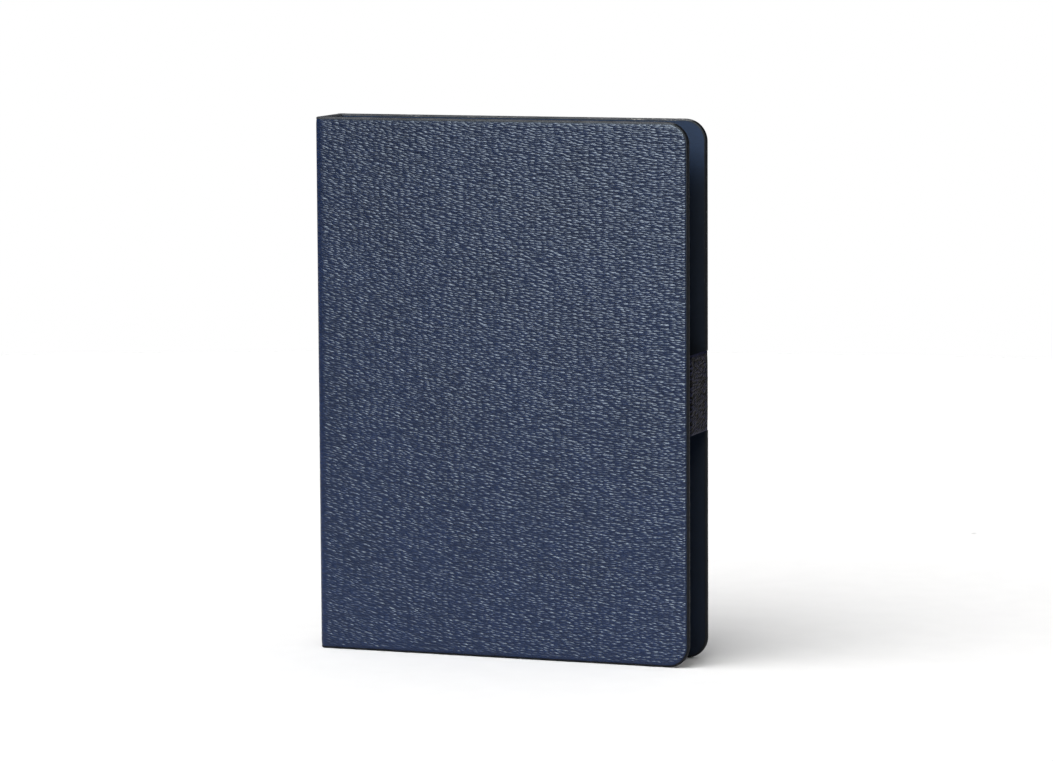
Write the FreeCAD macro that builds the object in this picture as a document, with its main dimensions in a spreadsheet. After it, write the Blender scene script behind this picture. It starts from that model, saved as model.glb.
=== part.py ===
import FreeCAD, Part
import math
import os

import Sketcher

# Pilot logbook: a stiff leather case that stands upright, closed, with its six-ring
# mechanism and loose leaves inside and a short magnet strap tucked in at the fore-edge.
#
# Frame: +Z up, the case rests on z = 0; +X runs from the spine to the fore-edge;
# the front cover's outer face looks towards -Y. The origin is under the middle of the case.

DRIVING_SIZES = (
    # alias, millimetres or degrees
    ("case_height", 230.0),
    ("case_width", 168.0),
    ("case_thick", 28.0),
    ("leather_thick", 1.2),
    ("board_thick", 1.4),
    ("lining_thick", 0.4),
    ("paint_width", 0.8),
    ("corner_radius", 9.5),
    ("fold_radius", 3.0),
    ("fold_sweep", 84.0),
    ("hinge_gap", 0.3),
    ("hinge_inset", 1.2),
    ("strap_height", 34.0),
    ("strap_thick", 1.2),
    ("strap_bend", 0.85),
    ("anchor_reach", 14.0),
    ("tongue_length", 7.7),
    ("tongue_thick", 1.8),
    ("tongue_facing", 0.5),
    ("tongue_inset", 0.3),
    ("magnet_height", 26.0),
    ("magnet_width", 4.4),
    ("magnet_thick", 0.9),
    ("striker_thick", 0.6),
    ("shell_width", 15.2),
    ("shell_rise", 3.4),
    ("shell_sheet", 0.6),
    ("shell_shoulder", 0.9),
    ("shell_length", 199.0),
    ("shell_flat", 6.8),
    ("ear_length", 5.2),
    ("ear_overlap", 1.5),
    ("ear_depth", 2.75),
    ("ear_play", 0.15),
    ("slot_near", 3.6),
    ("slot_far", 6.9),
    ("slot_play", 0.5),
    ("slot_floor", 1.7),
    ("ring_radius", 6.6),
    ("wire_diameter", 2.0),
    ("ring_rise", 8.3),
    ("ring_pitch", 19.0),
    ("ring_first", 35.0),
    ("leg_lean", 15.0),
    ("leg_length", 4.9),
    ("tip_gap", 0.05),
    ("blade_thick", 0.6),
    ("blade_width", 6.65),
    ("blade_length", 195.0),
    ("blade_tilt", 5.5),
    ("blade_pivot_reach", 6.8),
    ("blade_pivot_rise", 1.6),
    ("rivet_reach", 86.0),
    ("rivet_shank", 3.0),
    ("rivet_head", 6.4),
    ("rivet_dome", 0.5),
    ("rivet_taper", 1.2),
    ("rivet_play", 0.8),
    ("blade_middle_gap", 0.15),
    ("pin_diameter", 1.6),
    ("pin_reach", 101.2),
    ("lever_width", 8.4),
    ("lever_bore_play", 0.05),
    ("finger_width", 1.4),
    ("leaf_width", 148.0),
    ("leaf_height", 210.0),
    ("leaf_corner", 3.0),
    ("leaf_gap", 0.1),
    ("stack_thick", 3.4),
    ("flyleaf_thick", 0.4),
    ("hole_diameter", 6.0),
    ("hole_reach", 6.7),
)

SHEET_NAME = "Sizes"
RINGS_PER_GROUP = 3
ROUNDING = 0.01


class Size:
    """A number together with the spreadsheet formula that gives it."""

    def __init__(self, value, formula):
        self.value = value
        self.formula = formula

    def __add__(self, other):
        other = as_size(other)
        return Size(self.value + other.value, f"({self.formula} + {other.formula})")

    def __sub__(self, other):
        other = as_size(other)
        return Size(self.value - other.value, f"({self.formula} - {other.formula})")

    def __mul__(self, other):
        other = as_size(other)
        return Size(self.value * other.value, f"({self.formula} * {other.formula})")

    def __truediv__(self, other):
        other = as_size(other)
        return Size(self.value / other.value, f"({self.formula} / {other.formula})")

    def __neg__(self):
        return Size(-self.value, f"(0 - {self.formula})")


def as_size(number):
    if isinstance(number, Size):
        return number
    return Size(float(number), f"({number})")


def cosine(angle):
    return Size(math.cos(math.radians(angle.value)), f"cos({angle.formula} * 1 deg)")


def sine(angle):
    return Size(math.sin(math.radians(angle.value)), f"sin({angle.formula} * 1 deg)")


doc = FreeCAD.newDocument("PilotLogbook")
SIZE = {}


def fill_sheet():
    """Puts every driving size in the spreadsheet and in SIZE under its alias."""
    sheet = doc.addObject("Spreadsheet::Sheet", SHEET_NAME)
    for row, (alias, value) in enumerate(DRIVING_SIZES, start=1):
        sheet.set(f"A{row}", alias)
        sheet.set(f"B{row}", str(value))
        sheet.setAlias(f"B{row}", alias)
        SIZE[alias] = Size(value, f"{SHEET_NAME}.{alias}")
    doc.recompute()


fill_sheet()

# Places that several pieces share, worked out from the driving sizes.
COVER_THICK = SIZE["leather_thick"] + SIZE["board_thick"] + SIZE["lining_thick"]
SPINE_X = -SIZE["case_width"] / 2
FORE_X = SIZE["case_width"] / 2
OUTER_Y = SIZE["case_thick"] / 2
INNER_Y = OUTER_Y - COVER_THICK
MIDDLE_Z = SIZE["case_height"] / 2
SPINE_FACE_X = SPINE_X + COVER_THICK
COVER_START_X = SPINE_X + SIZE["fold_radius"] + SIZE["hinge_gap"]
RING_X = SPINE_FACE_X + SIZE["ring_rise"]
BLADE_PIVOT_X = SPINE_FACE_X + SIZE["blade_pivot_rise"]
STRAP_MIDDLE_X = FORE_X - SIZE["strap_thick"] / 2
STRAP_BOTTOM_Z = MIDDLE_Z - SIZE["strap_height"] / 2
STRAP_TOP_Z = MIDDLE_Z + SIZE["strap_height"] / 2
STRAP_HINGE_Y = INNER_Y - 0.2
TONGUE_FACE_Y = -INNER_Y + SIZE["tongue_inset"]
TONGUE_MIDDLE_Y = TONGUE_FACE_Y + SIZE["tongue_thick"] / 2
TONGUE_TIP_X = FORE_X - SIZE["tongue_length"]
TONGUE_ROOT_X = STRAP_MIDDLE_X - SIZE["strap_bend"] - 0.05
MAGNET_X = (TONGUE_TIP_X + TONGUE_ROOT_X) / 2

nodes = []


def add_node(feature, label):
    """Marks a finished object as one sub-part; its label names its file."""
    feature.Label = label
    nodes.append(feature)
    return feature


def place(feature, x=None, y=None, z=None):
    for axis, size in (("x", x), ("y", y), ("z", z)):
        if size is not None:
            feature.setExpression(f"Placement.Base.{axis}", as_size(size).formula)


# ---------------------------------------------------------------- sketch helpers

def new_body(name):
    body = doc.addObject("PartDesign::Body", name)
    body.AllowCompound = True
    return body


def origin_feature(body, role):
    for feature in body.Origin.OriginFeatures:
        if feature.Role == role:
            return feature
    raise ValueError(role)


def new_sketch(body, role):
    sketch = body.newObject("Sketcher::SketchObject", f"{body.Name}_sketch")
    sketch.AttachmentSupport = (origin_feature(body, role), [""])
    sketch.MapMode = "FlatFace"
    return sketch


def bind(sketch, constraint, size):
    """Adds a dimension and ties it to its formula."""
    index = sketch.addConstraint(constraint)
    name = f"size{index}"
    sketch.renameConstraint(index, name)
    sketch.setExpression(f"Constraints.{name}", size.formula)


def pin_point(sketch, edge, end, x, y):
    """Ties one end of an edge to a place measured from the sketch's origin."""
    bind(sketch, Sketcher.Constraint("DistanceX", -1, 1, edge, end, x.value), x)
    bind(sketch, Sketcher.Constraint("DistanceY", -1, 1, edge, end, y.value), y)


def vector(x, y):
    return FreeCAD.Vector(x.value, y.value, 0)


def draw_polygon(sketch, corners):
    """A closed outline of straight edges through the corners, given as pairs of sizes."""
    corners = [(as_size(x), as_size(y)) for x, y in corners]
    first = sketch.GeometryCount
    count = len(corners)
    for start, finish in zip(corners, corners[1:] + corners[:1]):
        sketch.addGeometry(Part.LineSegment(vector(*start), vector(*finish)))
    for step in range(count):
        following = first + (step + 1) % count
        sketch.addConstraint(Sketcher.Constraint("Coincident", first + step, 2, following, 1))
    for step, (x, y) in enumerate(corners):
        pin_point(sketch, first + step, 1, x, y)


def draw_box(sketch, left, right, bottom, top):
    draw_polygon(sketch, ((left, bottom), (right, bottom), (right, top), (left, top)))


def draw_rounded_box(sketch, left, right, bottom, top, radius):
    """A box whose two right-hand corners are quarter circles."""
    straight_right = right - radius
    sketch.addGeometry(Part.LineSegment(vector(left, bottom), vector(straight_right, bottom)))
    add_corner(sketch, straight_right, bottom + radius, radius, -90)
    sketch.addGeometry(Part.LineSegment(vector(right, bottom + radius), vector(right, top - radius)))
    add_corner(sketch, straight_right, top - radius, radius, 0)
    sketch.addGeometry(Part.LineSegment(vector(straight_right, top), vector(left, top)))
    sketch.addGeometry(Part.LineSegment(vector(left, top), vector(left, bottom)))
    for edge in range(4):
        sketch.addConstraint(Sketcher.Constraint("Tangent", edge, 2, edge + 1, 1))
    sketch.addConstraint(Sketcher.Constraint("Coincident", 4, 2, 5, 1))
    sketch.addConstraint(Sketcher.Constraint("Coincident", 5, 2, 0, 1))
    sketch.addConstraint(Sketcher.Constraint("Horizontal", 0))
    sketch.addConstraint(Sketcher.Constraint("Vertical", 2))
    sketch.addConstraint(Sketcher.Constraint("Horizontal", 4))
    sketch.addConstraint(Sketcher.Constraint("Vertical", 5))
    sketch.addConstraint(Sketcher.Constraint("Equal", 1, 3))
    bind(sketch, Sketcher.Constraint("Radius", 1, radius.value), radius)
    pin_point(sketch, 0, 1, left, bottom)
    bind(sketch, Sketcher.Constraint("DistanceX", -1, 1, 2, 1, right.value), right)
    bind(sketch, Sketcher.Constraint("DistanceY", -1, 1, 4, 2, top.value), top)


def add_corner(sketch, x, y, radius, start):
    """A quarter circle that starts at an angle and turns anticlockwise."""
    circle = Part.Circle(vector(x, y), FreeCAD.Vector(0, 0, 1), radius.value)
    first = math.radians(start)
    sketch.addGeometry(Part.ArcOfCircle(circle, first, first + math.pi / 2))


def draw_circle(sketch, x, y, diameter):
    index = sketch.GeometryCount
    normal = FreeCAD.Vector(0, 0, 1)
    sketch.addGeometry(Part.Circle(vector(x, y), normal, diameter.value / 2))
    bind(sketch, Sketcher.Constraint("Diameter", index, diameter.value), diameter)
    pin_point(sketch, index, 3, x, y)


def pad(body, sketch, length):
    feature = body.newObject("PartDesign::Pad", f"{body.Name}_pad")
    feature.Profile = sketch
    feature.setExpression("Length", length.formula)
    return feature


def pocket_through(body, sketch):
    """Cuts the sketch's outline right through the body, both ways."""
    doc.recompute()
    before = body.Shape.Volume
    feature = body.newObject("PartDesign::Pocket", f"{body.Name}_pocket")
    feature.Profile = sketch
    feature.SideType = "Symmetric"
    feature.Type = "ThroughAll"
    doc.recompute()
    if not body.Shape.Volume < before - ROUNDING:
        raise RuntimeError(f"{feature.Name} cuts nothing")
    return feature


def pocket_from_plane(body, sketch, depth, reverse):
    """Cuts a blind recess of the given depth, starting at the sketch's plane."""
    doc.recompute()
    before = body.Shape.Volume
    feature = body.newObject("PartDesign::Pocket", f"{body.Name}_recess")
    feature.Profile = sketch
    feature.Reversed = reverse
    feature.setExpression("Length", depth.formula)
    doc.recompute()
    if not body.Shape.Volume < before - ROUNDING:
        raise RuntimeError(f"{feature.Name} cuts nothing")
    return feature


def repeat_along_z(body, feature, length, count):
    pattern = body.newObject("PartDesign::LinearPattern", f"{body.Name}_row")
    pattern.Originals = [feature]
    pattern.Direction = (origin_feature(body, "Z_Axis"), [""])
    pattern.setExpression("Length", length.formula)
    pattern.Occurrences = count
    body.Tip = pattern
    doc.recompute()
    return pattern


def mirror_across(source, name, normal):
    """A mirrored twin of a finished object, across the plane through the origin."""
    twin = doc.addObject("Part::Mirroring", name)
    twin.Source = source
    twin.Normal = FreeCAD.Vector(*normal)
    return twin


def cut(name, base, tool):
    feature = doc.addObject("Part::Cut", name)
    feature.Base = base
    feature.Tool = tool
    return feature


def group(name, members):
    feature = doc.addObject("Part::Compound", name)
    feature.Links = members
    return feature


def box(name, x_from, x_to, y_from, y_to, z_from, z_to):
    feature = doc.addObject("Part::Box", name)
    feature.setExpression("Length", (as_size(x_to) - x_from).formula)
    feature.setExpression("Width", (as_size(y_to) - y_from).formula)
    feature.setExpression("Height", (as_size(z_to) - z_from).formula)
    place(feature, x_from, y_from, z_from)
    return feature


# ---------------------------------------------------------------- the two covers

def cover_layer(side, layer, face_y, thick, start_x, notch=None):
    """One flat layer of a cover: its outline stops short of the painted rim."""
    body = new_body(f"{side}_{layer}")
    rim = SIZE["paint_width"]
    outline = new_sketch(body, "XZ_Plane")
    draw_rounded_box(
        outline, start_x, FORE_X - rim, rim, SIZE["case_height"] - rim,
        SIZE["corner_radius"] - rim,
    )
    pad(body, outline, thick)
    if notch is not None:
        opening = new_sketch(body, "XZ_Plane")
        draw_box(opening, notch, FORE_X + 1, STRAP_BOTTOM_Z, STRAP_TOP_Z)
        pocket_through(body, opening)
    place(body, y=face_y)
    return add_node(body, f"{side}_{layer}")


def edge_paint(side, face_y, notch=False):
    """The painted rim of a cover, along its top, fore-edge and bottom."""
    body = new_body(f"{side}_edge_paint")
    rim = SIZE["paint_width"]
    outline = new_sketch(body, "XZ_Plane")
    draw_rounded_box(
        outline, COVER_START_X, FORE_X, as_size(0), SIZE["case_height"], SIZE["corner_radius"],
    )
    pad(body, outline, COVER_THICK)
    middle = new_sketch(body, "XZ_Plane")
    draw_rounded_box(
        middle, COVER_START_X - 1, FORE_X - rim, rim, SIZE["case_height"] - rim,
        SIZE["corner_radius"] - rim,
    )
    pocket_through(body, middle)
    if notch:
        opening = new_sketch(body, "XZ_Plane")
        draw_box(opening, FORE_X - SIZE["strap_thick"], FORE_X + 1, STRAP_BOTTOM_Z, STRAP_TOP_Z)
        pocket_through(body, opening)
    place(body, y=face_y)
    return add_node(body, f"{side}_edge_paint")


def front_cover():
    """Leather, board and lining, with a steel striker let into the board."""
    leather_inner = SIZE["leather_thick"] - OUTER_Y
    board_inner = leather_inner + SIZE["board_thick"]
    cover_layer("front", "leather", leather_inner, SIZE["leather_thick"], COVER_START_X)
    board = cover_layer(
        "front", "board", board_inner, SIZE["board_thick"], COVER_START_X + 0.4,
    )
    recess = new_sketch(board, "XZ_Plane")
    draw_striker_outline(recess)
    pocket_from_plane(board, recess, SIZE["striker_thick"], reverse=True)
    cover_layer("front", "lining", -INNER_Y, SIZE["lining_thick"], COVER_START_X + 0.1)
    edge_paint("front", -INNER_Y)
    striker = new_body("front_striker_plate")
    outline = new_sketch(striker, "XZ_Plane")
    draw_striker_outline(outline)
    pad(striker, outline, SIZE["striker_thick"])
    place(striker, y=board_inner)
    add_node(striker, "front_striker_plate")


def draw_striker_outline(sketch):
    """The steel plate in the board, opposite the tongue's magnet."""
    half_width = SIZE["magnet_width"] / 2 + 0.6
    half_height = SIZE["magnet_height"] / 2 + 1
    draw_box(
        sketch, MAGNET_X - half_width, MAGNET_X + half_width,
        MIDDLE_Z - half_height, MIDDLE_Z + half_height,
    )


def back_cover():
    """Leather, board and lining, notched where the strap is let in."""
    strap_in = FORE_X - SIZE["strap_thick"]
    board_outer = OUTER_Y - SIZE["leather_thick"]
    cover_layer("back", "leather", OUTER_Y, SIZE["leather_thick"], COVER_START_X, strap_in)
    cover_layer(
        "back", "board", board_outer, SIZE["board_thick"], COVER_START_X + 0.4,
        FORE_X - SIZE["anchor_reach"],
    )
    cover_layer(
        "back", "lining", INNER_Y + SIZE["lining_thick"], SIZE["lining_thick"],
        COVER_START_X + 0.1, strap_in,
    )
    edge_paint("back", OUTER_Y, notch=True)


def strap_anchor():
    """The strap's fixed root: a skived tab in the board's layer and a turn over the edge."""
    body = new_body("strap_anchor")
    strap_in = FORE_X - SIZE["strap_thick"]
    tab_outer = OUTER_Y - SIZE["leather_thick"]
    tab_inner = INNER_Y + SIZE["lining_thick"]
    tab_start = FORE_X - SIZE["anchor_reach"]
    outline = new_sketch(body, "XY_Plane")
    draw_polygon(outline, (
        (tab_start, tab_inner), (strap_in, tab_inner), (strap_in, INNER_Y), (FORE_X, INNER_Y),
        (FORE_X, OUTER_Y), (strap_in, OUTER_Y), (strap_in, tab_outer), (tab_start, tab_outer),
    ))
    pad(body, outline, SIZE["strap_height"])
    place(body, z=STRAP_BOTTOM_Z)
    add_node(body, "strap_anchor")


# ---------------------------------------------------------------- the spine

def spine_layer(layer, outer_x, thick, half_width):
    """One flat layer of the spine, between the two folds of leather."""
    body = new_body(f"spine_{layer}")
    outline = new_sketch(body, "YZ_Plane")
    rim = SIZE["paint_width"]
    draw_box(outline, -half_width, half_width, rim, SIZE["case_height"] - rim)
    pad(body, outline, thick)
    place(body, x=outer_x)
    return add_node(body, f"spine_{layer}")


def spine_panel():
    half = OUTER_Y - SIZE["fold_radius"]
    board_x = SPINE_X + SIZE["leather_thick"]
    spine_layer("leather", SPINE_X, SIZE["leather_thick"], half)
    board = spine_layer("board", board_x, SIZE["board_thick"], half - 0.4)
    lining = spine_layer("lining", board_x + SIZE["board_thick"], SIZE["lining_thick"], half - 0.2)
    drill_for_rivets(board, SIZE["rivet_shank"])
    drill_for_rivets(lining, SIZE["rivet_shank"])
    tail = new_sketch(board, "YZ_Plane")
    draw_rivet_circles(tail, SIZE["rivet_head"])
    pocket_from_plane(board, tail, SIZE["rivet_dome"], reverse=True)


def draw_rivet_circles(sketch, diameter):
    for side in (-1, 1):
        draw_circle(sketch, as_size(0), MIDDLE_Z + SIZE["rivet_reach"] * side, diameter)


def drill_for_rivets(body, diameter):
    holes = new_sketch(body, "YZ_Plane")
    draw_rivet_circles(holes, diameter)
    pocket_through(body, holes)


def fold_outline(sketch, side):
    """A bent strip of leather round one edge of the spine, seen from above.

    Two arcs about the fold's centre, from the spine's flat leather to just short of
    the cover's leather, so that the cover can turn past it.
    """
    centre_x = SPINE_X + SIZE["fold_radius"]
    centre_y = (OUTER_Y - SIZE["fold_radius"]) * side
    outer = SIZE["fold_radius"]
    inner = outer - SIZE["leather_thick"]
    centre = FreeCAD.Vector(centre_x.value, centre_y.value, 0)
    normal = FreeCAD.Vector(0, 0, 1)
    sweep = math.radians(SIZE["fold_sweep"].value)
    start = math.pi if side < 0 else math.pi - sweep
    for radius in (outer, inner):
        circle = Part.Circle(centre, normal, radius.value)
        index = sketch.addGeometry(Part.ArcOfCircle(circle, start, start + sweep))
        bind(sketch, Sketcher.Constraint("Radius", index, radius.value), radius)
        pin_point(sketch, index, 3, centre_x, centre_y)
    near, far = (1, 2) if side < 0 else (2, 1)
    reach = cosine(SIZE["fold_sweep"])
    for index, radius in ((0, outer), (1, inner)):
        near_y = Sketcher.Constraint("DistanceY", -1, 1, index, near, centre_y.value)
        bind(sketch, near_y, centre_y)
        far_x = centre_x - radius * reach
        bind(sketch, Sketcher.Constraint("DistanceX", -1, 1, index, far, far_x.value), far_x)
    for end in (near, far):
        line = sketch.addGeometry(Part.LineSegment(
            end_point(sketch, 0, end), end_point(sketch, 1, end),
        ))
        sketch.addConstraint(Sketcher.Constraint("Coincident", 0, end, line, 1))
        sketch.addConstraint(Sketcher.Constraint("Coincident", 1, end, line, 2))


def end_point(sketch, index, end):
    edge = sketch.Geometry[index]
    return edge.StartPoint if end == 1 else edge.EndPoint


def fold_leather(side_name, side):
    body = new_body(f"{side_name}_fold_leather")
    outline = new_sketch(body, "XY_Plane")
    fold_outline(outline, side)
    pad(body, outline, SIZE["case_height"] - SIZE["paint_width"] * 2)
    place(body, z=SIZE["paint_width"])
    add_node(body, f"{side_name}_fold_leather")


def spine_edge_paint():
    """The painted ends of the spine and its two folds, at the top and at the bottom."""
    body = new_body("spine_edge_paint")
    half = OUTER_Y - SIZE["fold_radius"]
    bar = new_sketch(body, "XY_Plane")
    draw_box(bar, SPINE_X, SPINE_FACE_X, -half, half)
    rim = pad(body, bar, SIZE["paint_width"])
    features = [rim]
    for side in (-1, 1):
        fold = new_sketch(body, "XY_Plane")
        fold_outline(fold, side)
        features.append(pad(body, fold, SIZE["paint_width"]))
    pattern = repeat_along_z(body, rim, SIZE["case_height"] - SIZE["paint_width"], 2)
    pattern.Originals = features
    add_node(body, "spine_edge_paint")


# ---------------------------------------------------------------- the closing strap

def strap_panel():
    """The part of the strap that spans the gap between the covers."""
    panel = box(
        "strap_panel", FORE_X - SIZE["strap_thick"], FORE_X,
        TONGUE_MIDDLE_Y + SIZE["strap_bend"], STRAP_HINGE_Y - SIZE["strap_bend"],
        STRAP_BOTTOM_Z, STRAP_TOP_Z,
    )
    add_node(panel, "strap_panel")


def strap_tongue():
    """The end that tucks in behind the front cover, with its bar magnet sewn in."""
    body = new_body("strap_tongue")
    leather = SIZE["tongue_thick"] - SIZE["tongue_facing"]
    outline = new_sketch(body, "XZ_Plane")
    draw_box(outline, TONGUE_TIP_X, TONGUE_ROOT_X, STRAP_BOTTOM_Z, STRAP_TOP_Z)
    pad(body, outline, leather)
    recess = new_sketch(body, "XZ_Plane")
    draw_magnet_outline(recess)
    doc.recompute()
    recess.AttachmentOffset = FreeCAD.Placement(
        FreeCAD.Vector(0, 0, leather.value), FreeCAD.Rotation(),
    )
    recess.setExpression("AttachmentOffset.Base.z", leather.formula)
    pocket_from_plane(body, recess, SIZE["magnet_thick"], reverse=False)
    place(body, y=TONGUE_FACE_Y + SIZE["tongue_thick"])
    add_node(body, "strap_tongue")

    magnet = new_body("tongue_magnet")
    bar = new_sketch(magnet, "XZ_Plane")
    draw_magnet_outline(bar)
    pad(magnet, bar, SIZE["magnet_thick"])
    place(magnet, y=TONGUE_FACE_Y + SIZE["tongue_facing"] + SIZE["magnet_thick"])
    add_node(magnet, "tongue_magnet")

    facing = box(
        "tongue_facing", TONGUE_TIP_X, TONGUE_ROOT_X,
        TONGUE_FACE_Y, TONGUE_FACE_Y + SIZE["tongue_facing"], STRAP_BOTTOM_Z, STRAP_TOP_Z,
    )
    add_node(facing, "tongue_facing")


def draw_magnet_outline(sketch):
    half_width = SIZE["magnet_width"] / 2
    half_height = SIZE["magnet_height"] / 2
    draw_box(
        sketch, MAGNET_X - half_width, MAGNET_X + half_width,
        MIDDLE_Z - half_height, MIDDLE_Z + half_height,
    )


# ---------------------------------------------------------------- the ring mechanism

def shell_profile(sketch):
    """The arched sheet seen from above: two upright sides, two slopes and a flat crown."""
    half = SIZE["shell_width"] / 2
    flat = SIZE["shell_flat"] / 2
    rise = SIZE["shell_rise"]
    sheet = SIZE["shell_sheet"]
    wall = rise - SIZE["shell_shoulder"]
    outer = ((0, half), (wall, half), (rise, flat), (rise, -flat), (wall, -half), (0, -half))
    inner = (
        (0, sheet - half), (wall - sheet * 0.6, sheet - half), (rise - sheet, -flat),
        (rise - sheet, flat), (wall - sheet * 0.6, half - sheet), (0, half - sheet),
    )
    draw_polygon(sketch, outer + inner)


def mechanism_shell():
    """The sprung top plate: notched for the ring legs, drilled for its two rivets."""
    body = new_body("shell_arch")
    profile = new_sketch(body, "XY_Plane")
    shell_profile(profile)
    pad(body, profile, SIZE["shell_length"])
    place(body, x=SPINE_FACE_X, z=MIDDLE_Z - SIZE["shell_length"] / 2)
    tools = []
    for height in ring_heights():
        for side in (-1, 1):
            tools.append(leg_slot(height, side))
    for side in (-1, 1):
        tools.append(rivet_hole(side))
    pierced = cut("shell_pierced", body, group("shell_openings", tools))
    ears = [shell_ear(end, side) for end in (-1, 1) for side in (-1, 1)]
    whole = doc.addObject("Part::MultiFuse", "mechanism_shell")
    whole.Shapes = [pierced] + ears
    add_node(whole, "mechanism_shell")


def ring_heights():
    """Six ring heights: three above the middle of the case and three below."""
    heights = []
    for side in (-1, 1):
        for step in range(RINGS_PER_GROUP):
            heights.append(MIDDLE_Z + (SIZE["ring_first"] + SIZE["ring_pitch"] * step) * side)
    return heights


def leg_slot(height, side):
    """Room for one ring leg to swing through the shell."""
    near = SIZE["slot_near"]
    far = SIZE["slot_far"]
    y_from, y_to = (-far, -near) if side < 0 else (near, far)
    half = SIZE["wire_diameter"] / 2 + SIZE["slot_play"]
    return box(
        "leg_slot", SPINE_FACE_X + SIZE["slot_floor"], SPINE_FACE_X + SIZE["shell_rise"] * 1.5, y_from, y_to,
        height - half, height + half,
    )


def rivet_hole(side):
    hole = doc.addObject("Part::Cylinder", "rivet_hole")
    hole.setExpression("Radius", (SIZE["rivet_shank"] / 2).formula)
    hole.setExpression("Height", (SIZE["shell_rise"] + 1).formula)
    turn_to_x(hole)
    place(hole, SPINE_FACE_X, 0, MIDDLE_Z + SIZE["rivet_reach"] * side)
    return hole


def turn_to_x(feature):
    """Turns a cylinder or cone so that its axis points towards the fore-edge."""
    turn = FreeCAD.Rotation(FreeCAD.Vector(0, 1, 0), 90)
    feature.Placement = FreeCAD.Placement(FreeCAD.Vector(0, 0, 0), turn)


def shell_ear(end, side):
    """A flat ear that carries the lever's pin, drilled for it."""
    root = SIZE["shell_length"] / 2 - SIZE["ear_overlap"]
    tip_z = MIDDLE_Z + (root + SIZE["ear_length"]) * end
    root_z = MIDDLE_Z + root * end
    z_from, z_to = (root_z, tip_z) if end > 0 else (tip_z, root_z)
    near = SIZE["lever_width"] / 2 + SIZE["ear_play"]
    far = near + SIZE["shell_sheet"]
    y_from, y_to = (near, far) if side > 0 else (-far, -near)
    plate = box(
        "ear_plate", SPINE_FACE_X, SPINE_FACE_X + SIZE["ear_depth"], y_from, y_to, z_from, z_to,
    )
    return cut("shell_ear", plate, lever_pin_rod("ear_hole", end, 0))


def lever_pin_rod(name, end, play):
    """A rod along the lever's pivot line."""
    rod = doc.addObject("Part::Cylinder", name)
    rod.setExpression("Radius", (SIZE["pin_diameter"] / 2 + play).formula)
    length = SIZE["lever_width"] + (SIZE["shell_sheet"] + SIZE["ear_play"]) * 2
    rod.setExpression("Height", length.formula)
    turn = FreeCAD.Rotation(FreeCAD.Vector(1, 0, 0), 90)
    rod.Placement = FreeCAD.Placement(FreeCAD.Vector(0, 0, 0), turn)
    place(rod, BLADE_PIVOT_X, length / 2, MIDDLE_Z + SIZE["pin_reach"] * end)
    return rod


def lever_pins():
    pins = [lever_pin_rod("lever_pin", end, 0) for end in (-1, 1)]
    add_node(group("lever_pins", pins), "lever_pins")


def mounting_rivets():
    """Two rivets: a low dome on the shell, a shank, and a flat tail under the leather."""
    rivets = []
    for side in (-1, 1):
        height = MIDDLE_Z + SIZE["rivet_reach"] * side
        board_x = SPINE_X + SIZE["leather_thick"]
        parts = (
            (board_x, SIZE["rivet_dome"], SIZE["rivet_head"] / 2, SIZE["rivet_head"] / 2),
            (
                board_x, COVER_THICK - SIZE["leather_thick"] + SIZE["shell_rise"],
                SIZE["rivet_shank"] / 2, SIZE["rivet_shank"] / 2,
            ),
            (
                SPINE_FACE_X + SIZE["shell_rise"], SIZE["rivet_dome"],
                SIZE["rivet_head"] / 2, SIZE["rivet_head"] / 2 - SIZE["rivet_taper"],
            ),
        )
        solids = []
        for start_x, length, near_radius, far_radius in parts:
            solids.append(turned_piece(start_x, length, near_radius, far_radius, height))
        rivet = doc.addObject("Part::MultiFuse", "mounting_rivet")
        rivet.Shapes = solids
        rivets.append(rivet)
    add_node(group("mounting_rivets", rivets), "mounting_rivets")


def turned_piece(start_x, length, near_radius, far_radius, height):
    """A short cylinder or cone along X at the given height."""
    if near_radius.value == far_radius.value:
        piece = doc.addObject("Part::Cylinder", "rivet_piece")
        piece.setExpression("Radius", near_radius.formula)
    else:
        piece = doc.addObject("Part::Cone", "rivet_piece")
        piece.setExpression("Radius1", near_radius.formula)
        piece.setExpression("Radius2", far_radius.formula)
    piece.setExpression("Height", length.formula)
    turn_to_x(piece)
    place(piece, start_x, 0, height)
    return piece


def ring_path(sketch):
    """Half a ring from above: an arc from the tip to below the side, then a leaning leg."""
    radius = SIZE["ring_radius"]
    lean = SIZE["leg_lean"]
    foot_x = RING_X - radius * sine(lean)
    foot_y = -(radius * cosine(lean))
    end_x = foot_x - SIZE["leg_length"] * cosine(lean)
    end_y = foot_y + SIZE["leg_length"] * sine(lean)
    tip_y = -SIZE["tip_gap"]
    centre = FreeCAD.Vector(RING_X.value, 0, 0)
    circle = Part.Circle(centre, FreeCAD.Vector(0, 0, 1), radius.value)
    foot_angle = math.radians(-90 - lean.value)
    tip_angle = math.asin(tip_y.value / radius.value)
    sketch.addGeometry(Part.ArcOfCircle(circle, foot_angle, tip_angle))
    sketch.addGeometry(Part.LineSegment(vector(foot_x, foot_y), vector(end_x, end_y)))
    sketch.addConstraint(Sketcher.Constraint("Coincident", 0, 1, 1, 1))
    pin_point(sketch, 0, 3, RING_X, as_size(0))
    bind(sketch, Sketcher.Constraint("Radius", 0, radius.value), radius)
    bind(sketch, Sketcher.Constraint("DistanceY", -1, 1, 0, 2, tip_y.value), tip_y)
    bind(sketch, Sketcher.Constraint("DistanceX", -1, 1, 0, 1, foot_x.value), foot_x)
    pin_point(sketch, 1, 2, end_x, end_y)


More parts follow.
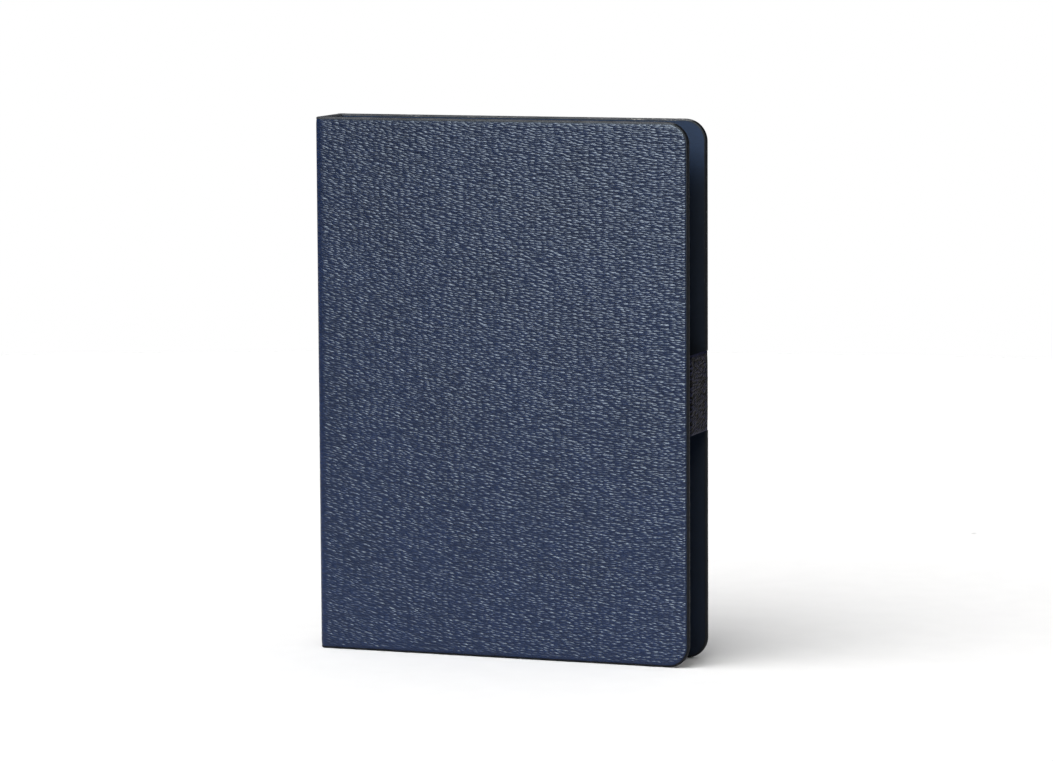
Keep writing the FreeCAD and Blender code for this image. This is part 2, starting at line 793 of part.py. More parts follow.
def ring_halves():
    """Six front half rings, swept from wire, and their mirrored rear twins."""
    body = new_body("ring_wires")
    path = new_sketch(body, "XY_Plane")
    ring_path(path)
    path.setExpression("AttachmentOffset.Base.z", SIZE["ring_first"].formula)
    section = new_sketch(body, "XZ_Plane")
    draw_circle(
        section, RING_X + SIZE["ring_radius"], SIZE["ring_first"], SIZE["wire_diameter"],
    )
    section.setExpression("AttachmentOffset.Base.z", SIZE["tip_gap"].formula)
    doc.recompute()
    sweep = body.newObject("PartDesign::AdditivePipe", "ring_sweep")
    sweep.Profile = section
    sweep.Spine = (path, ["Edge1", "Edge2"])
    doc.recompute()
    repeat_rings(body, sweep)
    place(body, z=MIDDLE_Z)
    front = add_node(body, "front_ring_halves")
    add_node(mirror_across(front, "rear_ring_halves", (0, 1, 0)), "rear_ring_halves")
    return front


def repeat_rings(body, feature):
    """Copies a ring feature to the three upper places and mirrors them to the lower three."""
    row = body.newObject("PartDesign::LinearPattern", f"{body.Name}_row")
    row.Direction = (origin_feature(body, "Z_Axis"), [""])
    row.setExpression("Length", (SIZE["ring_pitch"] * (RINGS_PER_GROUP - 1)).formula)
    row.Occurrences = RINGS_PER_GROUP
    mirror = body.newObject("PartDesign::Mirrored", f"{body.Name}_mirror")
    mirror.MirrorPlane = (origin_feature(body, "XY_Plane"), [""])
    both = body.newObject("PartDesign::MultiTransform", f"{body.Name}_all")
    both.Originals = [feature]
    both.Transformations = [row, mirror]
    body.Tip = both
    doc.recompute()


def blades(front_rings):
    """The two sprung blades under the shell, each carrying its half rings."""
    plate = new_body("blade_plate")
    outline = new_sketch(plate, "YZ_Plane")
    half = SIZE["blade_length"] / 2
    draw_box(outline, as_size(0), SIZE["blade_width"], -half, half)
    pad(plate, outline, SIZE["blade_thick"])
    holes = new_sketch(plate, "YZ_Plane")
    for side in (-1, 1):
        draw_circle(
            holes, SIZE["blade_width"] + SIZE["blade_middle_gap"], SIZE["rivet_reach"] * side,
            SIZE["rivet_shank"] + SIZE["rivet_play"] * 2,
        )
    pocket_through(plate, holes)
    tilt = SIZE["blade_tilt"]
    turn = FreeCAD.Rotation(FreeCAD.Vector(0, 0, 1), tilt.value)
    plate.Placement = FreeCAD.Placement(FreeCAD.Vector(0, 0, 0), turn)
    plate.setExpression("Placement.Rotation.Angle", tilt.formula)
    half_thick = SIZE["blade_thick"] / 2
    place(
        plate, BLADE_PIVOT_X - half_thick * cosine(tilt),
        -SIZE["blade_pivot_reach"] - half_thick * sine(tilt), MIDDLE_Z,
    )
    front = add_node(cut("front_blade", plate, front_rings), "front_blade")
    add_node(mirror_across(front, "rear_blade", (0, 1, 0)), "rear_blade")


def lever_outline(sketch):
    """The lever seen from the side: hub round the pin and a thumb tab beyond it."""
    draw_polygon(sketch, (
        (-1.5, -1.3), (1.2, -1.3), (1.2, 3.6), (6.4, 7.2), (6.4, 8.4), (5.4, 8.6),
        (-0.1, 4.8), (-1.4, 0.2),
    ))


def lever(end, name):
    """A thumb lever: the tab tilts outwards and its finger lifts the blades."""
    body = new_body(f"{name}_body")
    outline = new_sketch(body, "XZ_Plane")
    lever_outline(outline)
    pad(body, outline, SIZE["lever_width"])
    finger = new_sketch(body, "XZ_Plane")
    draw_box(finger, -1.5, -1.05, -5.0, -1.2)
    finger_pad = pad(body, finger, SIZE["finger_width"])
    drop = (SIZE["lever_width"] - SIZE["finger_width"]) / 2
    finger.setExpression("AttachmentOffset.Base.z", drop.formula)
    body.Tip = finger_pad
    place(body, BLADE_PIVOT_X, SIZE["lever_width"] / 2, MIDDLE_Z + SIZE["pin_reach"])
    bored = cut(f"{name}_bored", body, lever_pin_rod(f"{name}_bore", 1, SIZE["lever_bore_play"]))
    if end > 0:
        return add_node(bored, name)
    flipped = mirror_across(bored, name, (0, 0, 1))
    flipped.setExpression("Base.z", MIDDLE_Z.formula)
    return add_node(flipped, name)


# ---------------------------------------------------------------- the leaves

def leaf_stack(name, near_y, thick):
    """A block of punched leaves on the front side of the middle, and its rear twin."""
    body = new_body(f"front_{name}")
    outline = new_sketch(body, "XZ_Plane")
    bottom = MIDDLE_Z - SIZE["leaf_height"] / 2
    top = MIDDLE_Z + SIZE["leaf_height"] / 2
    draw_rounded_box(
        outline, RING_X, RING_X + SIZE["leaf_width"], bottom, top, SIZE["leaf_corner"],
    )
    pad(body, outline, thick)
    holes = new_sketch(body, "XZ_Plane")
    for height in ring_heights():
        draw_circle(holes, RING_X + SIZE["hole_reach"], height, SIZE["hole_diameter"])
    pocket_through(body, holes)
    place(body, y=-near_y)
    add_node(body, f"front_{name}")
    add_node(mirror_across(body, f"rear_{name}", (0, 1, 0)), f"rear_{name}")


def leaves():
    leaf_stack("log_leaves", SIZE["leaf_gap"], SIZE["stack_thick"])
    leaf_stack("flyleaf", SIZE["leaf_gap"] + SIZE["stack_thick"], SIZE["flyleaf_thick"])


# ---------------------------------------------------------------- build and export

def check_objects():
    """Stops the build if any object failed or any sub-part isn't a valid solid."""
    for item in doc.Objects:
        if "Invalid" in item.State or "Error" in item.State:
            raise RuntimeError(f"{item.Name} failed: {item.State}")
    for node in nodes:
        shape = node.Shape
        if shape.isNull() or not shape.isValid() or not shape.Solids:
            raise RuntimeError(f"{node.Label} has no valid solid")


def export_nodes():
    os.makedirs("parts", exist_ok=True)
    for node in nodes:
        node.Shape.exportStep(f"parts/{node.Label}.step")
        extent = node.Shape.BoundBox
        print(
            f"{node.Label}: {len(node.Shape.Solids)} solid(s), {node.Shape.Volume:.1f} mm3,"
            f" x {extent.XMin:.2f}..{extent.XMax:.2f} y {extent.YMin:.2f}..{extent.YMax:.2f}"
            f" z {extent.ZMin:.2f}..{extent.ZMax:.2f}"
        )


spine_panel()
for fold_name, fold_side in (("front", -1), ("back", 1)):
    fold_leather(fold_name, fold_side)
spine_edge_paint()
front_cover()
back_cover()
strap_anchor()
strap_panel()
strap_tongue()
mechanism_shell()
lever_pins()
mounting_rivets()
blades(ring_halves())
lever(1, "top_lever")
lever(-1, "bottom_lever")
leaves()
doc.recompute()
check_objects()
export_nodes()
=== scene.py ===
"""Pilot logbook: a navy leather six-ring logbook with painted edges and a magnetic strap.

Every size is in metres in the object's own frame: X runs from the spine to the fore-edge,
Y from the front cover to the back cover, and Z up from the foot of the standing book.
"""

import math

import bpy
import numpy as np
from bpy.props import FloatProperty, FloatVectorProperty, PointerProperty
from mathutils import Matrix, Vector


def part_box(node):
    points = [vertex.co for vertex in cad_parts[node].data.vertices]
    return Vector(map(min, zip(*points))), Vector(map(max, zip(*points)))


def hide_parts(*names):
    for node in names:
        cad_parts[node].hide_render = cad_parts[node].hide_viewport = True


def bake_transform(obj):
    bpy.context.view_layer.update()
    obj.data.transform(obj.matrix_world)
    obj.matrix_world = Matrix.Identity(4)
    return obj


bl_info = {
    "name": "Pilot Logbook",
    "version": (1, 0, 0),
    "blender": (4, 5, 0),
    "location": "View3D > Sidebar > Logbook",
    "description": "Leather skins, painted edges, strap, leaves and stage of a pilot logbook",
    "category": "Object",
}

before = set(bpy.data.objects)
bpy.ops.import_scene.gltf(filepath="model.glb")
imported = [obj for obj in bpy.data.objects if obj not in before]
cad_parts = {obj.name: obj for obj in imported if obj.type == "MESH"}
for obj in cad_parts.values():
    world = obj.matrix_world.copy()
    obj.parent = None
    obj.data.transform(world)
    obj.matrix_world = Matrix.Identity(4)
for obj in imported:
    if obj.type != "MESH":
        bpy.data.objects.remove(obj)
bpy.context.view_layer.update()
COVER_LOW, COVER_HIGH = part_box("front_edge_paint")
BACK_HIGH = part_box("back_edge_paint")[1]
SPINE_LOW, SPINE_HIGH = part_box("spine_leather")
STRAP_LOW, STRAP_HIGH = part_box("strap_panel")
TONGUE_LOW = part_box("strap_tongue")[0]

FRONT = -1.0
BACK = 1.0

# The ruled table of a log page: its edges across and up the page, its rows and its columns.
TABLE_LEFT, TABLE_RIGHT = -0.0595, 0.0703
TABLE_FOOT, TABLE_HEAD = 0.0178, 0.1981
TABLE_ROW, TABLE_COLUMN = 0.0040, 0.0105
HAIR = 0.0001


# ---------------------------------------------------------------- sizes and colours


def size(name, default, description, low=0.0):
    """A length in metres that a user can change."""
    return FloatProperty(
        name=name, description=description, default=default, min=low, unit="LENGTH", precision=5
    )


def turn(name, default, description):
    """An angle that a user can change, given here in degrees."""
    return FloatProperty(
        name=name, description=description, default=math.radians(default), subtype="ANGLE"
    )


def amount(name, default, description):
    """A plain number that a user can change."""
    return FloatProperty(name=name, description=description, default=default, precision=4)


def colour(name, default, description):
    """A colour that a user can change, as scene-linear red, green and blue."""
    return FloatVectorProperty(
        name=name, description=description, default=default, size=3, subtype="COLOR",
        min=0.0, max=1.0,
    )


class LogbookCovers(bpy.types.PropertyGroup):
    """Sizes of the leather case."""

    fold_radius: size("Fold radius", 0.003, "Outer radius of the fold between spine and cover")
    corner_radius: size("Corner radius", 0.0095, "Radius of the four fore-edge corners")
    leather: size("Leather", 0.0012, "Thickness of the outer leather")
    panel: size("Panel", 0.003, "Thickness of a cover with its board and lining")
    fold: size("Fold", 0.0017, "Thickness where there is no board, at the folds")
    lining: size("Lining", 0.0004, "Thickness of the lining")
    rim: size("Painted rim", 0.0009, "How far in from the edge the edge paint begins")
    rim_step: size("Paint build", 0.00005, "Height of the paint over the leather where it begins")
    edge_fall: size("Edge fall", 0.00022, "How far the creased leather edge falls to the rim")
    waviness: size("Waviness", 0.00004, "Height of the broad ripples of the glued leather")


class LogbookStrap(bpy.types.PropertyGroup):
    """Sizes of the closing strap."""

    thickness: size("Thickness", 0.0012, "Thickness of the strap leather")
    bend: size("Bend", 0.0016, "Outer radius of the strap's two bends")
    edge_round: size("Edge round", 0.00035, "Rounding of the strap's cut edges")
    crown: size("Crown", 0.00018, "How far the middle of the strap stands proud of its edges")


class LogbookGrain(bpy.types.PropertyGroup):
    """The pressed pebble grain of the leather."""

    pebble_length: size("Pebble length", 0.0027, "Length of a pebble across the cover")
    pebble_height: size("Pebble height", 0.00090, "Height of a pebble up the cover")
    relief: size("Relief", 0.00053, "Depth of the creases between the pebbles")
    spread: amount("Spread", 0.72, "How unevenly the pebbles lie, from 0 for rows to 1")
    wander: size("Wander", 0.0014, "How far the rows of pebbles wander up and down")
    wrinkles: amount("Wrinkles", 0.08, "Share of fine wrinkles in the relief")
    swell: amount("Swell", 0.1, "Share of broad swelling in the relief")
    lean_at_spine: turn("Lean at the spine", 13.0, "Fall of the pebbles near the spine")
    lean_at_edge: turn("Lean at the edge", 1.0, "Fall of the pebbles near the fore-edge")


class LogbookColours(bpy.types.PropertyGroup):
    """Base colours of the finishes."""

    hide: colour("Hide", (0.0075, 0.0215, 0.0760), "Outer leather")
    strap: colour("Strap", (0.0190, 0.0210, 0.0520), "Strap leather")
    lining: colour("Lining", (0.0200, 0.0440, 0.1050), "Lining sheet")
    paint: colour("Edge paint", (0.0040, 0.0050, 0.0080), "Edge paint")
    # Painted highlight: the colour that lightens the top faces of the painted rims.
    painted_highlight: colour("Highlight", (0.085, 0.088, 0.098), "Dust on the painted top edges")
    # Pale specks on the back cover's top edge: partly worn paint, partly painted highlight.
    rubbed_and_highlit: colour("Rubbed_and_highlit", (0.42, 0.41, 0.39), "Paint rubbed pale on the back cover's top edge")
    board: colour("Board", (0.23, 0.21, 0.18), "Grey board")
    paper: colour("Paper", (0.74, 0.71, 0.60), "Log leaves")
    rule: colour("Rule", (0.16, 0.27, 0.36), "Lines ruled on the leaves")
    card: colour("Card", (0.055, 0.085, 0.135), "Flyleaf card")
    nickel: colour("Nickel", (0.63, 0.61, 0.57), "Nickel plate")
    steel: colour("Steel", (0.42, 0.42, 0.42), "Plain steel")
    magnet: colour("Magnet", (0.30, 0.30, 0.31), "Coated magnet")


class LogbookStage(bpy.types.PropertyGroup):
    """Camera and lights."""

    azimuth: turn("Azimuth", 20.05, "Camera's turn about the book, from the front cover")
    elevation: turn("Elevation", 6.53, "Camera's height above the level, as an angle")
    roll: turn("Roll", -0.324, "Camera's roll")
    distance: size("Distance", 1.9775, "From the camera to the point it looks at")
    lens: amount("Lens", 158.7, "Focal length in millimetres on a sensor 36 mm wide")
    key: amount("Key light", 2.6, "Strength of the large light at the left")
    fill: amount("Fill light", 1.3, "Strength of the wide light overhead")
    top: amount("Top light", 22.0, "Strength of the soft light overhead")
    key_angle: turn("Key angle", 60.0, "How wide the key light looks, which softens its shadow")
    fill_angle: turn("Fill angle", 90.0, "How wide the fill light looks")
    floor_wide: size("Floor width", 1.3, "Half the width of the oval floor")
    floor_deep: size("Floor depth", 0.80, "Half the depth of the oval floor")
    room: amount("Room light", 0.09, "Strength of the light from all round")


# ---------------------------------------------------------------- meshes from grids


def grid_quads(rows, columns, first=0, wrap=False):
    """Quads of a grid of points numbered row by row, the last column joined to the first if wrap."""
    across = columns if wrap else columns - 1
    row, column = np.meshgrid(np.arange(rows - 1), np.arange(across), indexing="ij")
    here = first + row * columns + column
    beside = first + row * columns + (column + 1) % columns
    return np.stack([here, beside, beside + columns, here + columns], -1).reshape(-1, 4)


def signed_volume(points, quads):
    """Six times the volume inside the quads, negative where they point inwards."""
    a, b, c, d = (points[quads[:, i]] for i in range(4))
    cones = np.einsum("ij,ij->i", a, np.cross(b, c)) + np.einsum("ij,ij->i", a, np.cross(c, d))
    return cones.sum()


def put_mesh(name, points, quads, flat, smooth_below=40.0, **values):
    """A mesh object of these points and quads, faces outwards, with its flat map and values."""
    if signed_volume(points, quads) < 0:
        quads = quads[:, ::-1]
    mesh = bpy.data.meshes.new(name)
    mesh.vertices.add(len(points))
    mesh.vertices.foreach_set("co", points.astype(np.float32).ravel())
    mesh.loops.add(quads.size)
    mesh.loops.foreach_set("vertex_index", quads.astype(np.int32).ravel())
    mesh.polygons.add(len(quads))
    mesh.polygons.foreach_set("loop_start", np.arange(0, quads.size, 4, dtype=np.int32))
    layer = mesh.uv_layers.new(name="laid_flat")
    layer.uv.foreach_set("vector", flat[quads.ravel()].astype(np.float32).ravel())
    for value, numbers in values.items():
        kept = mesh.attributes.new(value, "FLOAT", "POINT")
        kept.data.foreach_set("value", np.asarray(numbers, np.float32).ravel())
    mesh.polygons.foreach_set("use_smooth", np.ones(len(quads), bool))
    mesh.update(calc_edges=True)
    mesh.set_sharp_from_angle(angle=math.radians(smooth_below))
    piece = bpy.data.objects.new(name, mesh)
    bpy.context.collection.objects.link(piece)
    return piece


def wall(outer, inner):
    """Closed wall between two grids of the same shape: both faces and a strip round the edge."""
    rows, columns = outer.shape[:2]
    count = rows * columns
    number = np.arange(count).reshape(rows, columns)
    edge = np.concatenate(
        [number[0, :-1], number[:-1, -1], number[-1, :0:-1], number[:0:-1, 0]]
    )
    after = np.roll(edge, -1)
    strip = np.stack([edge, edge + count, after + count, after], -1)
    faces = [grid_quads(rows, columns), grid_quads(rows, columns, count)[:, ::-1], strip]
    points = np.concatenate([outer.reshape(-1, 3), inner.reshape(-1, 3)])
    return points, np.concatenate(faces)


def tube(rings):
    """Closed tube through rings of points, each end closed across the ring in pairs of points."""
    rows, columns = rings.shape[:2]
    half = np.arange(columns // 2 - 1)
    cap = np.stack([half, half + 1, columns - 2 - half, columns - 1 - half], -1)
    far = (rows - 1) * columns + cap[:, ::-1]
    return rings.reshape(-1, 3), np.concatenate([grid_quads(rows, columns, wrap=True), cap, far])


def join(parts):
    """Several (points, quads, flat) sets as one set."""
    points, quads, flats = [], [], []
    start = 0
    for some, faces, flat in parts:
        if signed_volume(some, faces) < 0:
            faces = faces[:, ::-1]
        points.append(some)
        quads.append(faces + start)
        flats.append(flat)
        start += len(some)
    return [np.concatenate(each) for each in (points, quads, flats)]


def ease(x):
    """Smooth step from 0 at 0 to 1 at 1."""
    x = np.clip(x, 0.0, 1.0)
    return x * x * (3.0 - 2.0 * x)


def ripple(a, b, length, seed=0.0):
    """Broad uneven ripples between about -1 and 1: the mean of five crossing sine waves."""
    turns = np.array([0.3, 1.4, 2.2, 3.9, 5.1]) + seed
    lengths = length * np.array([1.0, 0.71, 0.57, 1.37, 0.83])
    total = 0.0
    for way, wave in zip(turns, lengths):
        along = a * math.cos(way) + b * math.sin(way)
        total = total + np.sin(2 * math.pi * along / wave + 9.7 * way)
    return total / 5.0


# ---------------------------------------------------------------- the case's sheet


class Case:
    """The case as a sheet: s runs from the middle of the spine, round the fold, to the fore-edge.

    At depth d under the outside, a point of the sheet is
    x = fold centre - (R - d) cos a + run past the fold, y = side (run on the spine + (R - d) sin a),
    where R is the fold radius and a goes from 0 to a right angle along the fold.
    """

    def __init__(self, covers):
        self.covers = covers
        self.radius = covers.fold_radius
        self.fold_x = SPINE_LOW.x + covers.fold_radius
        self.spine = SPINE_HIGH.y
        self.fold_end = self.spine + self.radius * math.pi / 2
        self.end = self.fold_end + COVER_HIGH.x - self.fold_x
        self.low = COVER_LOW.z
        self.high = COVER_HIGH.z

    def place(self, s, z, depth, side):
        """Points at run s, height z and depth under the outside of the front or back half."""
        angle = np.clip((s - self.spine) / self.radius, 0.0, math.pi / 2)
        reach = self.radius - depth
        x = self.fold_x - reach * np.cos(angle) + np.maximum(s - self.fold_end, 0.0)
        y = side * (np.minimum(s, self.spine) + reach * np.sin(angle))
        return np.stack(np.broadcast_arrays(x, y, z), -1)

    def from_rim(self, s, z):
        """Distance in from the outline, a rounded rectangle left open at the spine."""
        r = self.covers.corner_radius
        half = (self.high - self.low) / 2
        beyond_s = s - (self.end - r)
        beyond_z = np.abs(z - self.low - half) - (half - r)
        corner = np.hypot(np.maximum(beyond_s, 0), np.maximum(beyond_z, 0))
        return r - corner - np.minimum(np.maximum(beyond_s, beyond_z), 0)

    def runs(self, inset):
        """Runs from the middle of the spine to the fore-edge, close together at fold and corner."""
        r = self.covers.corner_radius - inset
        turn_at = self.end - self.covers.corner_radius
        on_spine = np.linspace(0.0, self.spine, 10, endpoint=False)
        on_fold = np.linspace(self.spine, self.fold_end + 0.001, 22, endpoint=False)
        on_panel = np.linspace(self.fold_end + 0.001, turn_at, 84, endpoint=False)
        round_corner = turn_at + r * np.sin(np.linspace(0.0, math.pi / 2, 22))
        return np.concatenate([on_spine, on_fold, on_panel, round_corner])

    def sheet(self, inset, across=150):
        """Grids of run and height over the sheet, its corners rounded, this far in from the edge."""
        s = self.runs(inset)
        r = self.covers.corner_radius - inset
        past = np.clip(s - (self.end - self.covers.corner_radius), 0.0, r)
        rise = r - np.sqrt(np.maximum(r * r - past * past, 0.0))
        low = self.low + inset + rise
        high = self.high - inset - rise
        t = np.linspace(-1.0, 1.0, across)
        t = 0.5 + 0.5 * (0.8 * t + 0.2 * np.sin(t * math.pi / 2) ** 3)
        z = low[:, None] + (high - low)[:, None] * t[None, :]
        return np.broadcast_to(s[:, None], z.shape), z

    def inner_face(self, s):
        """Depth of the lining's face: the panel's thickness, less at the fold, where no board is."""
        into = ease((s - self.spine + 0.0003) / 0.0011)
        out = ease((s - self.fold_end + 0.0001) / 0.0010)
        return self.covers.panel - (self.covers.panel - self.covers.fold) * (into - out)

    def rim_lengths(self):
        """Lengths along the rim: its straight foot, one corner, and the whole of it."""
        r = self.covers.corner_radius
        foot = self.end - r
        bend = r * math.pi / 2
        upright = self.high - self.low - 2 * r
        return foot, bend, 2 * foot + 2 * bend + upright

    def outline(self, start, stop, steps=240):
        """Runs, heights and outward directions along the rim, for shares start to stop of it.

        The rim goes along the foot, round the corner, up the fore-edge, round and back on top.
        """
        r = self.covers.corner_radius
        foot, bend, total = self.rim_lengths()
        fine = np.sort(np.concatenate([
            np.linspace(start, stop, steps),
            self.near(foot / total, bend / total, start, stop),
            self.near(1 - foot / total - bend / total, bend / total, start, stop),
            self.near(self.spine / total, 0.008 / total, start, stop),
            self.near(1 - self.fold_end / total, 0.008 / total, start, stop),
        ]))
        along = fine * total
        upper = along > total / 2
        near = np.where(upper, total - along, along)
        angle = np.clip((near - foot) / r, 0.0, math.pi / 2)
        rise = np.maximum(near - foot - bend, 0.0)
        s = np.minimum(near, foot) + r * np.sin(angle)
        z = self.low + r * (1 - np.cos(angle)) + rise
        out_s, out_z = np.sin(angle), -np.cos(angle)
        mid = self.low + self.high
        return s, np.where(upper, mid - z, z), out_s, np.where(upper, -out_z, out_z), along

    @staticmethod
    def near(start, length, low, high):
        """Extra shares through a bend, for those within the stretch."""
        extra = np.linspace(start - 0.1 * length, start + 1.1 * length, 36)
        return extra[(extra > low) & (extra < high)]


def hide_grid(case, side):
    """Outer leather: run s and height z laid on the case, falling at the rim, with ripples."""
    covers = case.covers
    s, z = case.sheet(covers.rim * 0.75)
    inside = case.from_rim(s, z)
    fall = covers.edge_fall * (1 - ease((inside - covers.rim) / 0.0016))
    swell = covers.waviness * ripple(s, z, 0.055, side) * ease(inside / 0.006)
    swell = swell * ease((s - case.fold_end) / 0.01)
    return s, z, fall + np.maximum(-swell, 0.0), inside


def make_hide(case, name, side):
    """One half of the outer leather, from the middle of the spine to the fore-edge."""
    s, z, depth, inside = hide_grid(case, side)
    outer = case.place(s, z, depth, side)
    inner = case.place(s, z, np.full_like(s, case.covers.leather), side)
    points, quads = wall(outer, inner)
    flat = np.stack([s, z], -1).reshape(-1, 2)
    fade = ease((inside - case.covers.rim * 0.8) / 0.0009)
    before = ease((s - case.spine + 0.001) / 0.002)
    after = ease((s - case.fold_end + 0.001) / 0.002)
    on_fold = before * (1 - after)
    depth_of_grain = (fade * (1 - 0.5 * on_fold)).ravel()
    return put_mesh(
        name, points, quads, np.concatenate([flat, flat]),
        grain_depth=np.concatenate([depth_of_grain, depth_of_grain]),
    )


def rim_rings(case, side, start, stop):
    """Painted rim: a full half-oval from the outer to the inner face, carried along the outline.

    Around the section the reach is rim x (|cos a|^0.62 - 1) and the depth goes from face to face
    as sin a; the reach varies a little along the rim, as brushed paint does.
    """
    covers = case.covers
    s, z, out_s, out_z, along = case.outline(start, stop)
    thick = case.inner_face(s)[:, None]
    angle = np.linspace(math.pi / 2, -math.pi / 2, 16)[None, :]
    uneven = 1 + 0.05 * ripple(along, along * 0, 0.013, side)[:, None]
    reach = covers.rim * uneven * (np.abs(np.cos(angle)) ** 0.62 - 1.0)
    reach = reach - covers.rim * (1 - uneven) * 0.5
    proud = covers.rim_step * (1 + 0.6 * ripple(along, along * 0, 0.007, side + 3)[:, None])
    middle = covers.edge_fall * 0.5
    depth = middle + (thick - middle) * (0.5 - 0.5 * np.sin(angle))
    depth = depth - proud * np.sin(angle) * np.abs(np.sin(angle)) ** 3
    rings = case.place(
        s[:, None] + out_s[:, None] * np.minimum(reach, 0.0),
        z[:, None] + out_z[:, None] * np.minimum(reach, 0.0),
        depth, side,
    )
    flat = np.stack(np.broadcast_arrays(along[:, None], depth), -1).reshape(-1, 2)
    points, quads = tube(rings)
    return points, quads, flat


def make_rim(case, name, side, gap=None):
    """Painted rim of one half, left open between the two heights of gap on the fore-edge."""
    if gap is None:
        spans = [(0.0, 1.0)]
    else:
        foot, bend, total = case.rim_lengths()
        start = foot + bend - case.covers.corner_radius - case.low
        spans = [(0.0, (start + gap[0]) / total), ((start + gap[1]) / total, 1.0)]
    parts = [rim_rings(case, side, low, high) for low, high in spans]
    points, quads, flat = join(parts)
    return put_mesh(name, points, quads, flat, smooth_below=50.0)


def make_lining(case, name, side):
    """Lining of one half: a thin sheet at the inner face that dips into the fold's groove."""
    s, z = case.sheet(case.covers.rim * 0.8, across=60)
    face = case.inner_face(s)
    swell = 0.00003 * ripple(s, z, 0.04, side + 1.0) * ease(case.from_rim(s, z) / 0.006)
    outer = case.place(s, z, face - case.covers.lining, side)
    inner = case.place(s, z, face + swell, side)
    points, quads = wall(outer, inner)
    flat = np.stack([s, z], -1).reshape(-1, 2)
    return put_mesh(name, points, quads, np.concatenate([flat, flat]))


# ---------------------------------------------------------------- the strap


def arc(centre, radius, start, stop, steps):
    """Points of an arc in the level plane, angles in degrees."""
    angle = np.radians(np.linspace(start, stop, steps))
    return np.stack([centre[0] + radius * np.cos(angle), centre[1] + radius * np.sin(angle)], -1)


def ribbon(name, path, strap, low, high):
    """Leather ribbon: a rounded band section, standing in Z, carried along a path in the level plane.

    The section is the rectangle thickness by width with its long edges rounded and its outer face
    crowned; at each point of the path it lies along the path's own normal.
    """
    along = np.gradient(path, axis=0)
    along = along / np.linalg.norm(along, axis=1, keepdims=True)
    normal = np.stack([along[:, 1], -along[:, 0]], -1)
    t = strap.thickness
    e = strap.edge_round
    width = high - low
    across = np.concatenate([[0.0, 0.3 * e, e], np.linspace(0, 1, 34)[1:-1] * (width - 2 * e) + e])
    across = np.concatenate([across, [width - e, width - 0.3 * e, width]])
    nearness = np.minimum(across, width - across)
    drop = e - np.sqrt(np.maximum(e * e - np.maximum(e - nearness, 0) ** 2, 0.0))
    share = across / width * 2 - 1
    outer = -drop - strap.crown * share ** 4
    inner = -t + drop
    ring_z = low + np.concatenate([across, across[::-1]])
    ring_n = np.concatenate([outer, inner[::-1]])
    rings = np.zeros((len(path), len(ring_z), 3))
    rings[..., :2] = path[:, None, :] + normal[:, None, :] * ring_n[None, :, None]
    rings[..., 2] = ring_z[None, :]
    step = np.linalg.norm(np.diff(path, axis=0), axis=1)
    run = np.concatenate([[0.0], np.cumsum(step)])
    points, quads = tube(rings)
    flat = np.stack(np.broadcast_arrays(run[:, None], ring_z[None, :]), -1).reshape(-1, 2)
    fade = ease(nearness / 0.0012)
    depth = np.broadcast_to(np.concatenate([fade, fade * 0.2])[None, :], rings.shape[:2])
    return put_mesh(name, points, quads, flat, grain_depth=depth.ravel())


def strap_paths(strap):
    """Two paths of the strap's outer face that meet half way across the fore-edge."""
    x, r = STRAP_HIGH.x, strap.bend
    y_back = BACK_HIGH.y
    y_tongue = TONGUE_LOW.y
    half = np.linspace(0, 1, 12)
    inside = np.stack([TONGUE_LOW.x + half * (x - r - TONGUE_LOW.x), 0 * half + y_tongue], -1)
    bend = arc((x - r, y_tongue + r), r, -90, 0, 14)
    up = np.stack([0 * half + x, y_tongue + r + half * (0.0 - y_tongue - r)], -1)
    first = np.concatenate([inside[:-1], bend, up[1:]])
    on = np.stack([0 * half + x, half * (y_back - r)], -1)
    over = arc((x - r, y_back - r), r, 0, 82, 14)
    return np.concatenate([on, over[1:]]), first


# ---------------------------------------------------------------- material nodes


